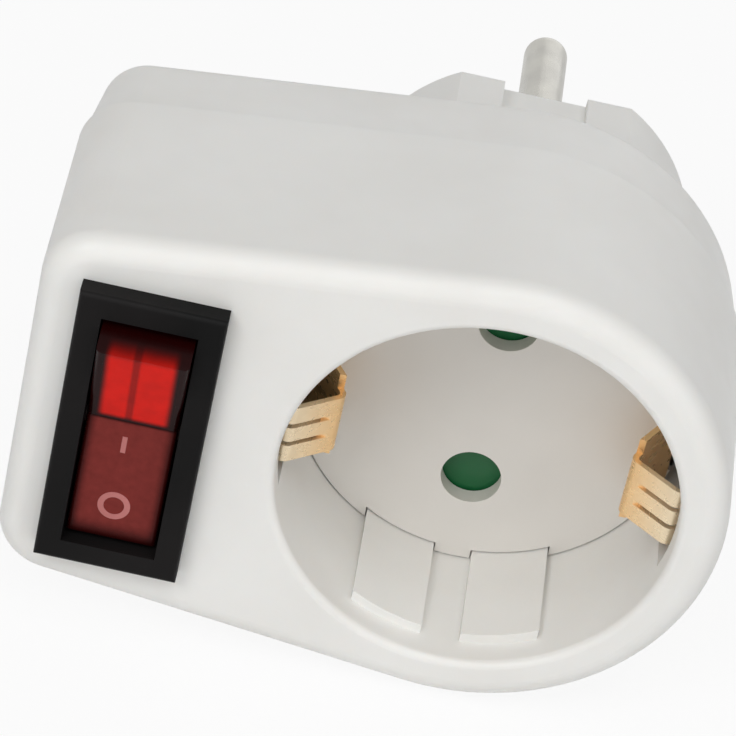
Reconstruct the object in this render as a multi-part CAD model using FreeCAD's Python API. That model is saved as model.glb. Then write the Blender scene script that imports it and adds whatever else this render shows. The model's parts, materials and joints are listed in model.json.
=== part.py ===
"""Switched plug adapter: a round earthed socket and an illuminated rocker switch in one long housing.

Frame, in millimetres: the origin is the middle of the plug nose's end face, between the two pins.
X runs along the housing, with the switch at -X and the socket at +X. The pins point along +Y, so
the front face looks along -Y, and +Z is up. A depth is counted from the front face towards +Y.
"""
import FreeCAD
import Part
import math
import os

V = FreeCAD.Vector

# How far a cutting shape runs past the surface that it cuts
OVERCUT = 1.0

# Housing outline, measured where the two shells meet
RIM_WIDTH = 5.25
SWITCH_END_X = -45.9
SWITCH_END_HALF_HEIGHT = 20.5
CORNER_R = 6.0

# Housing depths
PARTING_DEPTH = 26.0
FRONT_WALL = 2.4
BACK_WALL = 2.5
SIDE_WALL = 2.2
FRONT_DRAFT_DEG = 1.0
REAR_DRAFT_DEG = 5.0
FRONT_EDGE_R = 2.5
BACK_EDGE_R = 3.0
PARTING_STEP = 0.3
LIP_HEIGHT = 2.0
LIP_WALL = 1.2
LIP_GAP = 0.15

# Plug side
NOSE_LENGTH = 17.5
NOSE_R = 18.4
NOSE_FLAT_Z = 15.9
NOSE_WALL = 2.2
NOSE_END_WALL = 3.0
NOSE_EDGE_R = 1.5
NOSE_GROOVE_WIDTH = 9.0
NOSE_GROOVE_FLOOR_Z = 14.3
GROOVE_WALL = 1.0
PIN_SPACING = 19.0
PIN_R = 2.4
PIN_LENGTH = 19.0
PIN_TIP_R = 1.9
PIN_SEAT_R = 2.7
PIN_SEAT_GAP = 0.02
PIN_COLLAR_R = 3.2
PIN_COLLAR_LENGTH = 1.2
PIN_TAG_WIDTH = 3.2
PIN_TAG_THICKNESS = 1.2
PIN_TAG_LENGTH = 3.4

# Socket side
WELL_R = 19.75
WELL_DEPTH = 17.5
WELL_WALL = 1.6
WELL_RIM_R = 0.8
FLOOR_THICKNESS = 2.0
FLOOR_GAP = 0.15
LEDGE_THICKNESS = 1.5
LEDGE_INNER_R = 16.6
PIN_HOLE_R = 3.1
GUIDE_INNER_R = 18.75
GUIDE_SLOT_HALF = 2.0
GUIDE_OUTER_HALF = 9.5
GUIDE_START_DEPTH = 3.5
GUIDE_GAP = 0.15

# Child-safety shutter behind the socket floor
BOSS_R = 3.0
SHUTTER_RUN_GAP = 0.05
SHUTTER_THICKNESS = 1.6
SHUTTER_SIDE_GAP = 0.3
SHUTTER_HUB_R = 4.5
SHUTTER_PAD_R = 3.7
SHUTTER_ARM_HALF = 2.0
SHUTTER_TRAVEL_DEG = 42.0
STOP_POST_R = 1.2
STOP_POST_RADIUS = 6.2
PEG_R = 0.6
STOP_GAP = 0.1
SIDE_POST_X = 11.0
SPRING_WIRE_R = 0.3
SPRING_COIL_R = 3.75
COVER_R = 13.8
COVER_THICKNESS = 1.2
COVER_GAP = 0.1

# Contacts
CONTACT_BORE_R = 2.45
CONTACT_WALL = 0.65
CONTACT_SLIT = 1.0
PIN_END_ROOM = 3.5
CONTACT_FREE_LENGTH = 9.5
CONTACT_COLLAR_R = 3.9
CONTACT_COLLAR_LENGTH = 1.0
CONTACT_TAB_END_X = -7.0
CONTACT_TAB_WIDTH = 3.2
CONTACT_SEAT_GAP = 0.02
CLAMP_SPRING_START = 1.0
CLAMP_SPRING_LENGTH = 5.0
CLAMP_SPRING_THICKNESS = 0.5
CLAMP_SPRING_GAP = 0.05
CLAMP_SPRING_SLIT = 2.0

# Contact carrier in the mouth of the nose
CARRIER_FLANGE_R = 17.8
CARRIER_FLANGE = 2.0
CARRIER_PLUG_LENGTH = 4.0
CARRIER_GAP = 0.2

# Earth strips
EARTH_STRIP_THICKNESS = 0.6
EARTH_CLIP_WIDTH = 6.4
EARTH_CLIP_NOSE_R = 14.5
EARTH_CLIP_NOSE_DEPTH = 8.5
EARTH_CLIP_MOUTH_DEPTH = 3.9
EARTH_CLIP_TIP_SINK = 0.85
EARTH_CLIP_TIP_DEPTH = 7.0
EARTH_CLIP_LEG_INSET = 1.05
EARTH_CLIP_LEG_DEPTH = 16.4
EARTH_CLIP_BEND_R = 0.9
EARTH_CLIP_SLIT = 0.5
EARTH_CLIP_SLIT_STOP = 1.2
EARTH_BASE_WIDTH = 9.6
EARTH_BASE_START = 9.6
EARTH_BASE_GAP = 0.3
EARTH_FOOT_LENGTH = 2.6
EARTH_WINDOW_GAP = 0.4
EARTH_WINDOW_START = 3.2
BRIDGE_INSET = 1.5
BRIDGE_WIDTH = 3.0
BRIDGE_THICKNESS = 0.8
PLUG_EARTH_THICKNESS = 0.7
PLUG_EARTH_WIDTH = 6.0
PLUG_EARTH_SINK = 0.35
PLUG_EARTH_TURN_ROOM = 2.5
PLUG_EARTH_LEG_X = 15.0
PLUG_EARTH_END_GAP = 0.8
PLUG_EARTH_BEND_R = 0.9
STRIP_SLOT_GAP = 0.25

# Rocker switch
SWITCH_X = -34.1
BEZEL_WIDTH = 14.3
BEZEL_LENGTH = 31.5
BEZEL_THICKNESS = 2.4
BEZEL_EDGE_R = 0.5
SWITCH_BODY_WIDTH = 12.4
SWITCH_END_WALL = 0.9
SWITCH_BASE = 1.6
PANEL_GAP = 0.15
LATCH_HEIGHT = 0.45
LATCH_LENGTH = 8.0
LATCH_DEPTH = 5.0
ROCKER_R = 13.0
ROCKER_END_GAP = 0.3
ROCKER_WIDTH = 9.0
ROCKER_SIDE_GAP = 0.2
ROCKER_PIVOT_DEPTH = 1.5
ROCKER_FACE_DEPTH = -1.0
ROCKER_VALLEY_SHIFT = 1.8
ROCKER_TRAVEL_DEG = 22.0
ROCKER_WALL = 1.1
ROCKER_SKIRT = 2.2
ROCKER_EDGE_R = 0.5
TRUNNION_R = 1.25
TRUNNION_LENGTH = 1.1
TRUNNION_GAP = 0.05
PLUNGER_R = 1.4
PLUNGER_TIP_GAP = 0.2
PLUNGER_LENGTH = 5.0
PLUNGER_GAP = 0.05
PLUNGER_TUBE_WALL = 0.8
PLUNGER_TUBE_REACH = 6.2
PLUNGER_SPRING_WIRE_R = 0.2
PLUNGER_SPRING_R = 1.0
PLUNGER_SPRING_TURNS = 5
LAMP_R = 1.45
LAMP_LENGTH = 5.6
LAMP_START_Z = 3.8
LAMP_CLEARANCE = 0.1
RESISTOR_R = 1.0
RESISTOR_LENGTH = 5.0
RESISTOR_START_Z = 4.2

# Rocking contact and terminals of the switch
ARM_FRONT_DEPTH = 11.5
ARM_ROOM = 5.4
ARM_THICKNESS = 0.6
ARM_HALF_LENGTH = 9.6
ARM_WIDTH = 4.4
ARM_TRAVEL_DEG = 14.0
BUTTON_R = 1.2
BUTTON_HEIGHT = 0.8
BUTTON_GAP = 0.15
FULCRUM_GAP = 0.15
TERMINAL_PITCH = 8.5
TERMINAL_WIDTH = 4.8
TERMINAL_THICKNESS = 0.8
TERMINAL_HOLD = 7.5
NEUTRAL_TERMINAL_RISE = 1.4
RECEPTACLE_WIDTH = 6.2
RECEPTACLE_HEIGHT = 2.8
RECEPTACLE_ROOM = 2.0
RECEPTACLE_LENGTH = 8.0
RECEPTACLE_GAP = 0.05
CRIMP_R = 1.8
CRIMP_LENGTH = 3.4
CRIMP_SETBACK = 2.5

# Leads between the contacts and the switch
LEAD_R = 1.2
LEAD_PASSAGE_X = -9.5
LEAD_PASSAGE_Z = -5.8
LEAD_PASSAGE_GAP = 0.3
LEAD_BEND_R = 1.56
LEAD_STRAIGHT = 2.6
LEAD_FAN_X = -19.0
NEUTRAL_LINK_WIDTH = 4.0
NEUTRAL_LINK_THICKNESS = 1.0

# Screws
SCREW_BOSS_X = -24.0
SCREW_BOSS_Z = 14.0
SCREW_BOSS_R = 3.0
SCREW_R = 1.4
SCREW_PILOT_R = 1.45
SCREW_CLEARANCE_R = 1.7
SCREW_HEAD_R = 2.7
SCREW_HEAD_HEIGHT = 1.8
SCREW_HEAD_SINK = 1.6
SCREW_HEAD_GAP = 0.3
HEAD_ROOM_WALL = 1.2
SCREW_THREAD_LENGTH = 9.0
SCREW_TIP_GAP = 0.6
SCREW_HEAD_EDGE_R = 0.5
SCREW_SLOT_HALF = 0.45
SCREW_SLOT_DEPTH = 0.8
CENTRE_SCREW_SINK = 0.8
COLUMN_R = 3.6

# Sizes that follow from those above
ROUND_END_R = WELL_R + RIM_WIDTH
PIN_Z = PIN_SPACING / 2
CONTACT_END_DEPTH = WELL_DEPTH + PIN_LENGTH + PIN_END_ROOM
FLOOR_BACK_DEPTH = WELL_DEPTH + FLOOR_THICKNESS
LEDGE_BACK_DEPTH = FLOOR_BACK_DEPTH + LEDGE_THICKNESS
SHUTTER_FRONT_DEPTH = FLOOR_BACK_DEPTH + SHUTTER_SIDE_GAP
SHUTTER_BACK_DEPTH = SHUTTER_FRONT_DEPTH + SHUTTER_THICKNESS
SPRING_DEPTH = SHUTTER_BACK_DEPTH + SPRING_WIRE_R + COVER_GAP
COVER_FRONT_DEPTH = SPRING_DEPTH + SPRING_WIRE_R + COVER_GAP
COVER_BACK_DEPTH = COVER_FRONT_DEPTH + COVER_THICKNESS
CONTACT_FRONT_DEPTH = COVER_BACK_DEPTH + COVER_GAP
CARRIER_FRONT_DEPTH = CONTACT_FRONT_DEPTH + CONTACT_FREE_LENGTH
INNER_BACK_DEPTH = CARRIER_FRONT_DEPTH + CARRIER_FLANGE
CARRIER_BACK_DEPTH = INNER_BACK_DEPTH + CARRIER_PLUG_LENGTH
PLUG_EARTH_TURN_DEPTH = CARRIER_BACK_DEPTH + PLUG_EARTH_TURN_ROOM
BODY_DEPTH = INNER_BACK_DEPTH + BACK_WALL
NOSE_END_DEPTH = BODY_DEPTH + NOSE_LENGTH
FRONT_Y = -NOSE_END_DEPTH
LEAD_RUN_DEPTH = (COVER_BACK_DEPTH + CARRIER_FRONT_DEPTH) / 2
CONTACT_OUTER_R = CONTACT_BORE_R + CONTACT_WALL
PIN_ROOT_DEPTH = NOSE_END_DEPTH - NOSE_END_WALL
PIN_TAG_DEPTH = PIN_ROOT_DEPTH - PIN_COLLAR_LENGTH - PIN_TAG_LENGTH
NOSE_INNER_R = NOSE_R - NOSE_WALL
EARTH_CLIP_TIP_R = WELL_R + EARTH_CLIP_TIP_SINK
EARTH_CLIP_LEG_R = WELL_R - EARTH_CLIP_LEG_INSET
BRIDGE_OUTER_R = EARTH_CLIP_LEG_R - BRIDGE_INSET
BRIDGE_INNER_R = BRIDGE_OUTER_R - BRIDGE_WIDTH
EARTH_RECESS_X = NOSE_R - PLUG_EARTH_SINK - PLUG_EARTH_THICKNESS
ROCKER_REST_DEG = ROCKER_TRAVEL_DEG / 2
ARM_REST_DEG = ARM_TRAVEL_DEG / 2
OPENING_HALF_LENGTH = ROCKER_R + ROCKER_END_GAP
OPENING_HALF_WIDTH = ROCKER_WIDTH / 2 + ROCKER_SIDE_GAP
SWITCH_BODY_HALF_LENGTH = OPENING_HALF_LENGTH + SWITCH_END_WALL
ARM_PIVOT_DEPTH = ARM_FRONT_DEPTH + ARM_THICKNESS / 2
PLUNGER_REACH = ARM_FRONT_DEPTH - ROCKER_PIVOT_DEPTH - PLUNGER_TIP_GAP
SWITCH_BODY_DEPTH = ARM_FRONT_DEPTH + ARM_ROOM + SWITCH_BASE
NEUTRAL_TERMINAL_DEPTH = ARM_FRONT_DEPTH + ARM_ROOM - NEUTRAL_TERMINAL_RISE
RECEPTACLE_START_DEPTH = SWITCH_BODY_DEPTH + RECEPTACLE_ROOM
TERMINAL_END_DEPTH = RECEPTACLE_START_DEPTH + TERMINAL_HOLD
CRIMP_DEPTH = RECEPTACLE_START_DEPTH + RECEPTACLE_LENGTH - CRIMP_SETBACK
TUBE_TOP = ROCKER_FACE_DEPTH - ROCKER_PIVOT_DEPTH + ROCKER_WALL / 2
PLUNGER_BORE_TOP = TUBE_TOP + ROCKER_WALL
CENTRE_SCREW_HEAD_DEPTH = NOSE_END_DEPTH - CENTRE_SCREW_SINK - SCREW_HEAD_HEIGHT


def at(depth):
    """The Y of the plane that lies this deep behind the front face."""
    return FRONT_Y + depth


def cylinder(radius, depth_a, depth_b, x=0.0, z=0.0):
    """A round bar along Y between two depths."""
    return Part.makeCylinder(radius, depth_b - depth_a, V(x, at(depth_a), z), V(0, 1, 0))


def ring(outer, inner, depth_a, depth_b, x=0.0, z=0.0):
    """A tube along Y between two depths."""
    hole = cylinder(inner, depth_a - OVERCUT, depth_b + OVERCUT, x, z)
    return cylinder(outer, depth_a, depth_b, x, z).cut(hole)


def block(x_a, x_b, depth_a, depth_b, z_a, z_b):
    """A box between two values on each axis."""
    return Part.makeBox(x_b - x_a, depth_b - depth_a, z_b - z_a, V(x_a, at(depth_a), z_a))


def centred_block(x, half_x, depth_a, depth_b, z, half_z):
    """A box that is centred on x and z."""
    return block(x - half_x, x + half_x, depth_a, depth_b, z - half_z, z + half_z)


def mirrored_x(shape):
    """The shape's mirror image on the other side of the plane X = 0."""
    return shape.mirror(V(0, 0, 0), V(1, 0, 0))


def edges_in_plane(shape, depth, keep):
    """The edges that lie wholly at one depth and pass the test."""
    found = []
    for edge in shape.Edges:
        box = edge.BoundBox
        if abs(box.YMin - at(depth)) < 1e-4 and abs(box.YMax - at(depth)) < 1e-4 and keep(edge):
            found.append(edge)
    return found


def rounded(shape, radius, depth, keep=lambda edge: True):
    """The shape with the chosen edges at one depth rounded."""
    return shape.makeFillet(radius, edges_in_plane(shape, depth, keep))


def housing_outline(depth, inset):
    """The outline at one depth: a wide arc round the socket, two flanks and two corners."""
    wide = ROUND_END_R - inset
    small = CORNER_R - inset
    corner_x = SWITCH_END_X + CORNER_R
    corner_z = SWITCH_END_HALF_HEIGHT - CORNER_R
    reach = math.hypot(corner_x, corner_z)
    flank = math.atan2(corner_z, corner_x) - math.acos((wide - small) / reach)
    y = at(depth)

    def on_arc(centre_x, centre_z, radius, angle):
        return V(centre_x + radius * math.cos(angle), y, centre_z + radius * math.sin(angle))

    top = on_arc(0, 0, wide, flank)
    bottom = on_arc(0, 0, wide, -flank)
    middle = (flank + math.pi) / 2
    upper = [on_arc(corner_x, corner_z, small, angle) for angle in (flank, middle, math.pi)]
    lower = [on_arc(corner_x, -corner_z, small, -angle) for angle in (math.pi, middle, flank)]
    edges = [
        Part.Arc(bottom, on_arc(0, 0, wide, 0), top).toShape(),
        Part.LineSegment(top, upper[0]).toShape(),
        Part.Arc(*upper).toShape(),
        Part.LineSegment(upper[2], lower[0]).toShape(),
        Part.Arc(*lower).toShape(),
        Part.LineSegment(lower[2], bottom).toShape(),
    ]
    return Part.Wire(edges)


def tapered_block(depth_a, inset_a, depth_b, inset_b):
    """The solid between the housing's outline at two depths."""
    wires = [housing_outline(depth_a, inset_a), housing_outline(depth_b, inset_b)]
    return Part.makeLoft(wires, True, True)


def front_inset(depth):
    """How far the front shell's draft brings its outline in at a depth."""
    return (PARTING_DEPTH - depth) * math.tan(math.radians(FRONT_DRAFT_DEG))


def rear_inset(depth):
    """How far the rear shell's draft brings its outline in at a depth."""
    return PARTING_STEP + (depth - PARTING_DEPTH) * math.tan(math.radians(REAR_DRAFT_DEG))


def corner_arc(before, corner, after, radius):
    """The tangent points and centre of the arc that rounds a corner of a route."""
    to_before = (before - corner).normalize()
    to_after = (after - corner).normalize()
    half = to_before.getAngle(to_after) / 2
    back_off = radius / math.tan(half)
    centre = corner + (to_before + to_after).normalize() * (radius / math.sin(half))
    return corner + to_before * back_off, corner + to_after * back_off, centre


def bent_strip(points, bend_r, thickness, half_width):
    """A strip of sheet metal whose middle line follows points (x, depth), standing along Z."""
    path = [V(x, at(depth), -half_width) for x, depth in points]
    across = (path[1] - path[0]).normalize().cross(V(0, 0, 1))
    sides = ([path[0] + across * (thickness / 2)], [path[0] - across * (thickness / 2)])
    pieces = ([], [])
    for before, corner, after in zip(path, path[1:], path[2:]):
        first, last, centre = corner_arc(before, corner, after, bend_r)
        across_in = (corner - before).normalize().cross(V(0, 0, 1))
        turn = 1 if across_in.dot(centre - first) > 0 else -1
        for side, piece, sign in zip(sides, pieces, (1, -1)):
            radius = bend_r - sign * turn * thickness / 2
            start = centre + (first - centre).normalize() * radius
            end = centre + (last - centre).normalize() * radius
            middle = centre + ((first - centre) + (last - centre)).normalize() * radius
            piece.append(Part.LineSegment(side[-1], start).toShape())
            piece.append(Part.Arc(start, middle, end).toShape())
            side.append(end)
    across = (path[-1] - path[-2]).normalize().cross(V(0, 0, 1))
    for side, piece, sign in zip(sides, pieces, (1, -1)):
        tip = path[-1] + across * (sign * thickness / 2)
        piece.append(Part.LineSegment(side[-1], tip).toShape())
        side.append(tip)
    caps = [
        Part.LineSegment(sides[0][0], sides[1][0]).toShape(),
        Part.LineSegment(sides[0][-1], sides[1][-1]).toShape(),
    ]
    wire = Part.Wire(Part.__sortEdges__(pieces[0] + pieces[1] + caps))
    return Part.Face(wire).extrude(V(0, 0, 2 * half_width))


def round_lead(points, bend_r, radius):
    """A round lead of straight runs (x, depth, z) joined by tangent arcs."""
    path = [V(x, at(depth), z) for x, depth, z in points]
    edges = []
    start = path[0]
    for before, corner, after in zip(path, path[1:], path[2:]):
        first, last, centre = corner_arc(before, corner, after, bend_r)
        middle = centre + ((first - centre) + (last - centre)).normalize() * bend_r
        edges.append(Part.LineSegment(start, first).toShape())
        edges.append(Part.Arc(first, middle, last).toShape())
        start = last
    edges.append(Part.LineSegment(start, path[-1]).toShape())
    section = Part.Wire(Part.makeCircle(radius, path[0], path[1] - path[0]))
    sweep = Part.BRepOffsetAPI.MakePipeShell(Part.Wire(edges))
    sweep.add(section)
    sweep.build()
    sweep.makeSolid()
    return sweep.shape()


def wire_coil(radius, wire_r, pitch, turns, start_y):
    """A coil spring along Y, swept along arcs of a quarter turn each."""

    def on_coil(turn):
        angle = 2 * math.pi * turn
        return V(radius * math.cos(angle), start_y + pitch * turn, -radius * math.sin(angle))

    quarters = []
    for step in range(4 * turns):
        arc = Part.Arc(on_coil(step / 4), on_coil((step + 0.5) / 4), on_coil((step + 1) / 4))
        quarters.append(arc.toShape())
    along = V(0, pitch, -2 * math.pi * radius)
    section = Part.Wire(Part.makeCircle(wire_r, on_coil(0), along))
    sweep = Part.BRepOffsetAPI.MakePipeShell(Part.Wire(quarters))
    sweep.add(section)
    sweep.build()
    sweep.makeSolid()
    return sweep.shape()


def guide_pads(inner, outer, slack, depth_a, depth_b):
    """The raised guides at the top and bottom of the well, on each side of a middle slot."""
    low = GUIDE_SLOT_HALF - slack
    high = GUIDE_OUTER_HALF + slack
    wall = ring(outer, inner, depth_a, depth_b)
    columns = [
        centred_block(side * (low + high) / 2, (high - low) / 2, depth_a, depth_b, 0, outer)
        for side in (-1, 1)
    ]
    return wall.common(columns[0].fuse(columns[1]))


def boss_places():
    """Where the two screws at the switch end stand, as (x, z)."""
    return [(SCREW_BOSS_X, SCREW_BOSS_Z), (SCREW_BOSS_X, -SCREW_BOSS_Z)]


def make_front_housing():
    """The front shell, with the socket's well and the switch's cut-out moulded in."""
    shell = tapered_block(0, front_inset(0), PARTING_DEPTH, 0)
    shell = rounded(shell, FRONT_EDGE_R, 0)
    hollow = tapered_block(
        FRONT_WALL, front_inset(FRONT_WALL) + SIDE_WALL, PARTING_DEPTH, SIDE_WALL
    )
    shell = shell.cut(hollow)
    shell = shell.fuse(cylinder(WELL_R + WELL_WALL, FRONT_WALL / 2, LEDGE_BACK_DEPTH))
    for x, z in boss_places():
        boss = cylinder(SCREW_BOSS_R, FRONT_WALL / 2, PARTING_DEPTH, x, z)
        shell = shell.fuse(boss)
        pilot_depth = PARTING_DEPTH - SCREW_THREAD_LENGTH
        shell = shell.cut(cylinder(SCREW_PILOT_R, pilot_depth, PARTING_DEPTH, x, z))
    shell = shell.cut(cylinder(WELL_R, -OVERCUT, FLOOR_BACK_DEPTH))
    shell = shell.cut(cylinder(LEDGE_INNER_R, FLOOR_BACK_DEPTH - OVERCUT, LEDGE_BACK_DEPTH + OVERCUT))
    shell = rounded(shell, WELL_RIM_R, 0, lambda edge: is_arc_of(edge, WELL_R))
    guides = guide_pads(GUIDE_INNER_R, WELL_R + WELL_WALL / 2, 0, GUIDE_START_DEPTH, FLOOR_BACK_DEPTH)
    shell = shell.fuse(guides)
    half = EARTH_BASE_WIDTH / 2 + EARTH_WINDOW_GAP
    window = block(
        EARTH_CLIP_LEG_R - EARTH_STRIP_THICKNESS / 2 - STRIP_SLOT_GAP,
        WELL_R + WELL_WALL + OVERCUT / 2,
        EARTH_WINDOW_START,
        LEDGE_BACK_DEPTH + OVERCUT,
        -half,
        half,
    )
    shell = shell.cut(window).cut(mirrored_x(window))
    cut_out = centred_block(
        SWITCH_X,
        SWITCH_BODY_WIDTH / 2 + PANEL_GAP,
        -OVERCUT,
        FRONT_WALL + OVERCUT,
        0,
        SWITCH_BODY_HALF_LENGTH + PANEL_GAP,
    )
    return shell.cut(cut_out)


def is_arc_of(edge, radius):
    """Is the edge part of a circle of this radius?"""
    return isinstance(edge.Curve, Part.Circle) and abs(edge.Curve.Radius - radius) < 1e-4


def nose_solid():
    """The plug's nose before it is hollowed: round, flat above and below, with two guide grooves."""
    nose = cylinder(NOSE_R, INNER_BACK_DEPTH, NOSE_END_DEPTH)
    nose = nose.common(
        centred_block(0, NOSE_R, INNER_BACK_DEPTH, NOSE_END_DEPTH, 0, NOSE_FLAT_Z)
    )
    nose = rounded(nose, NOSE_EDGE_R, NOSE_END_DEPTH)
    middle = (NOSE_GROOVE_FLOOR_Z + NOSE_R + OVERCUT) / 2
    half = (NOSE_R + OVERCUT - NOSE_GROOVE_FLOOR_Z) / 2
    for side in (-1, 1):
        groove = centred_block(
            0, NOSE_GROOVE_WIDTH / 2, BODY_DEPTH, NOSE_END_DEPTH + OVERCUT, side * middle, half
        )
        nose = nose.cut(groove)
    return nose


def nose_hollow(gap, depth_a, depth_b):
    """The space inside the nose's walls and behind its two grooves, less a gap all round."""
    hollow = cylinder(NOSE_INNER_R - gap, depth_a, depth_b)
    inner_z = NOSE_FLAT_Z - NOSE_WALL - gap
    hollow = hollow.common(centred_block(0, NOSE_INNER_R, depth_a, depth_b, 0, inner_z))
    flat_z = NOSE_GROOVE_FLOOR_Z - GROOVE_WALL - gap
    half_width = NOSE_GROOVE_WIDTH / 2 + GROOVE_WALL + gap
    half_height = (NOSE_R - flat_z) / 2
    for side in (-1, 1):
        middle = side * (flat_z + half_height)
        hollow = hollow.cut(
            centred_block(0, half_width, depth_a - OVERCUT, depth_b + OVERCUT, middle, half_height)
        )
    return hollow


def make_rear_housing():
    """The rear shell, with the plug's nose moulded on and a lip that enters the front shell."""
    shell = tapered_block(
        PARTING_DEPTH, rear_inset(PARTING_DEPTH), BODY_DEPTH, rear_inset(BODY_DEPTH)
    )
    shell = rounded(shell, BACK_EDGE_R, BODY_DEPTH)
    hollow = tapered_block(
        PARTING_DEPTH,
        rear_inset(PARTING_DEPTH) + SIDE_WALL,
        INNER_BACK_DEPTH,
        rear_inset(INNER_BACK_DEPTH) + SIDE_WALL,
    )
    shell = shell.cut(hollow)
    lip_inset = SIDE_WALL + LIP_GAP + front_inset(PARTING_DEPTH - LIP_HEIGHT)
    lip = tapered_block(PARTING_DEPTH - LIP_HEIGHT, lip_inset, PARTING_DEPTH + OVERCUT, lip_inset)
    lip_inner = tapered_block(
        PARTING_DEPTH - LIP_HEIGHT - OVERCUT,
        lip_inset + LIP_WALL,
        PARTING_DEPTH + 2 * OVERCUT,
        lip_inset + LIP_WALL,
    )
    shell = shell.fuse(lip.cut(lip_inner))
    shell = shell.fuse(nose_solid())
    shell = shell.cut(nose_hollow(0, INNER_BACK_DEPTH - OVERCUT, PIN_ROOT_DEPTH))
    head_depth = BODY_DEPTH - SCREW_HEAD_SINK - SCREW_HEAD_HEIGHT
    head_wall_r = SCREW_HEAD_R + SCREW_HEAD_GAP + HEAD_ROOM_WALL
    for x, z in boss_places():
        boss = cylinder(SCREW_BOSS_R, PARTING_DEPTH, BODY_DEPTH - BACK_WALL / 2, x, z)
        seat_depth = head_depth - HEAD_ROOM_WALL
        shell = shell.fuse(boss)
        shell = shell.fuse(cylinder(head_wall_r, seat_depth, BODY_DEPTH - BACK_WALL / 2, x, z))
        shank_hole = cylinder(
            SCREW_CLEARANCE_R, PARTING_DEPTH - OVERCUT, BODY_DEPTH + OVERCUT, x, z
        )
        shell = shell.cut(shank_hole)
        head_room = cylinder(SCREW_HEAD_R + SCREW_HEAD_GAP, head_depth, BODY_DEPTH + OVERCUT, x, z)
        shell = shell.cut(head_room)
    column = cylinder(COLUMN_R, CARRIER_BACK_DEPTH, NOSE_END_DEPTH - NOSE_END_WALL / 2)
    shell = shell.fuse(column)
    shank_hole = cylinder(
        SCREW_CLEARANCE_R, CARRIER_BACK_DEPTH - OVERCUT, NOSE_END_DEPTH + OVERCUT
    )
    shell = shell.cut(shank_hole)
    centre_room = cylinder(
        SCREW_HEAD_R + SCREW_HEAD_GAP, CENTRE_SCREW_HEAD_DEPTH, NOSE_END_DEPTH + OVERCUT
    )
    shell = shell.cut(centre_room)
    for side in (-1, 1):
        hole = cylinder(
            PIN_SEAT_R + PIN_SEAT_GAP, PIN_ROOT_DEPTH - OVERCUT, NOSE_END_DEPTH + OVERCUT, 0, side * PIN_Z
        )
        shell = shell.cut(hole)
    half = PLUG_EARTH_WIDTH / 2 + STRIP_SLOT_GAP
    recess = block(EARTH_RECESS_X, NOSE_R + OVERCUT, BODY_DEPTH, NOSE_END_DEPTH + OVERCUT, -half, half)
    slot = block(
        PLUG_EARTH_LEG_X,
        NOSE_R,
        PLUG_EARTH_TURN_DEPTH - PLUG_EARTH_THICKNESS / 2 - STRIP_SLOT_GAP,
        PLUG_EARTH_TURN_DEPTH + PLUG_EARTH_THICKNESS + PLUG_EARTH_BEND_R,
        -half,
        half,
    )
    for cut in (recess, slot):
        shell = shell.cut(cut).cut(mirrored_x(cut))
    return shell


def post_places():
    """Where the shutter cover's four posts stand: two at the sides and two as shutter stops."""
    reach = math.asin((SHUTTER_ARM_HALF + STOP_POST_R + STOP_GAP) / STOP_POST_RADIUS)
    angle = math.radians(SHUTTER_TRAVEL_DEG) + reach
    stop_x = STOP_POST_RADIUS * math.sin(angle)
    stop_z = STOP_POST_RADIUS * math.cos(angle)
    return [(SIDE_POST_X, 0), (-SIDE_POST_X, 0), (stop_x, stop_z), (-stop_x, -stop_z)]


def make_socket_floor():
    """The loose floor of the well, with two pin holes and the boss that the shutter turns on."""
    floor = cylinder(WELL_R - FLOOR_GAP, WELL_DEPTH, FLOOR_BACK_DEPTH)
    notches = guide_pads(
        GUIDE_INNER_R - GUIDE_GAP,
        WELL_R + OVERCUT,
        GUIDE_GAP,
        WELL_DEPTH - OVERCUT,
        FLOOR_BACK_DEPTH + OVERCUT,
    )
    floor = floor.cut(notches)
    half = EARTH_CLIP_WIDTH / 2 + STRIP_SLOT_GAP
    inner = EARTH_CLIP_LEG_R - EARTH_STRIP_THICKNESS / 2 - STRIP_SLOT_GAP
    slot = block(inner, WELL_R + OVERCUT, WELL_DEPTH - OVERCUT, FLOOR_BACK_DEPTH + OVERCUT, -half, half)
    floor = floor.cut(slot).cut(mirrored_x(slot))
    floor = floor.fuse(cylinder(BOSS_R, FLOOR_BACK_DEPTH, CARRIER_FRONT_DEPTH))
    for x, z in post_places():
        floor = floor.fuse(cylinder(STOP_POST_R, FLOOR_BACK_DEPTH, COVER_FRONT_DEPTH, x, z))
        floor = floor.fuse(cylinder(PEG_R, COVER_FRONT_DEPTH, COVER_BACK_DEPTH, x, z))
    pilot_depth = CARRIER_FRONT_DEPTH - SCREW_THREAD_LENGTH
    floor = floor.cut(cylinder(SCREW_PILOT_R, pilot_depth, CARRIER_FRONT_DEPTH + OVERCUT))
    for side in (-1, 1):
        floor = floor.cut(
            cylinder(PIN_HOLE_R, WELL_DEPTH - OVERCUT, FLOOR_BACK_DEPTH + OVERCUT, 0, side * PIN_Z)
        )
    return floor


def make_shutter():
    """The turning shutter, whose two pads close the pin holes."""
    front, back = SHUTTER_FRONT_DEPTH, SHUTTER_BACK_DEPTH
    shutter = cylinder(SHUTTER_HUB_R, front, back)
    shutter = shutter.fuse(centred_block(0, SHUTTER_ARM_HALF, front, back, 0, PIN_Z))
    for side in (-1, 1):
        shutter = shutter.fuse(cylinder(SHUTTER_PAD_R, front, back, 0, side * PIN_Z))
    bore = cylinder(BOSS_R + SHUTTER_RUN_GAP, front - OVERCUT, back + OVERCUT)
    return shutter.cut(bore).removeSplitter()


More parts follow.
